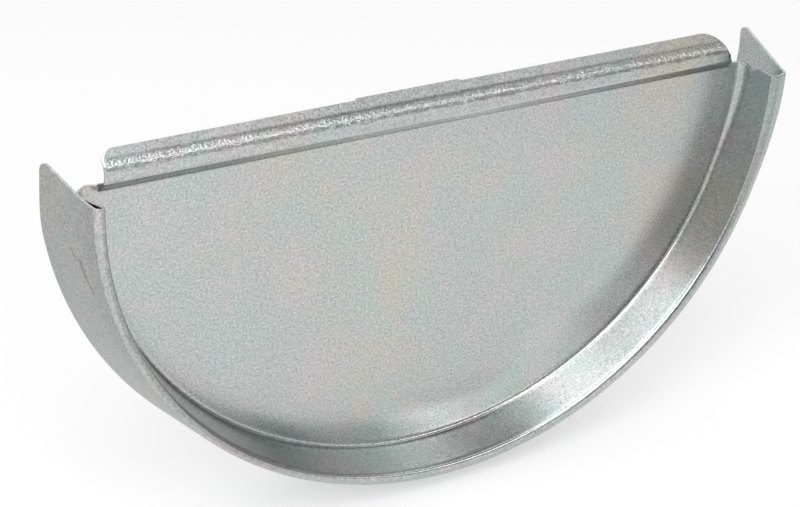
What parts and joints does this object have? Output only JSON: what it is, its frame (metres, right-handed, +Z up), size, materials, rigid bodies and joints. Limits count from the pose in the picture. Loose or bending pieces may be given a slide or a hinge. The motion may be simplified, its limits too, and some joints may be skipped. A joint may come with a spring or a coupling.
{
  "type": "gutter end cap",
  "caption": "Half-round end cap folded from one galvanised sheet: flat half disc, forward wall, folded rim with a skirt behind, bead along the top.",
  "frame": {"origin": "centre of the half circle, on the front face of the flat half disc", "axes": "+Z up, +Y from the cap towards the gutter that it closes, +X to the right seen from the front"},
  "size_m": [0.1658, 0.021, 0.0933],
  "materials": {
    "galvanised_sheet": "hot-dip galvanised, fine spangle, dull"
  },
  "bodies": {
    "root": {"end_cap": "galvanised_sheet"}
  },
  "joints": []
}
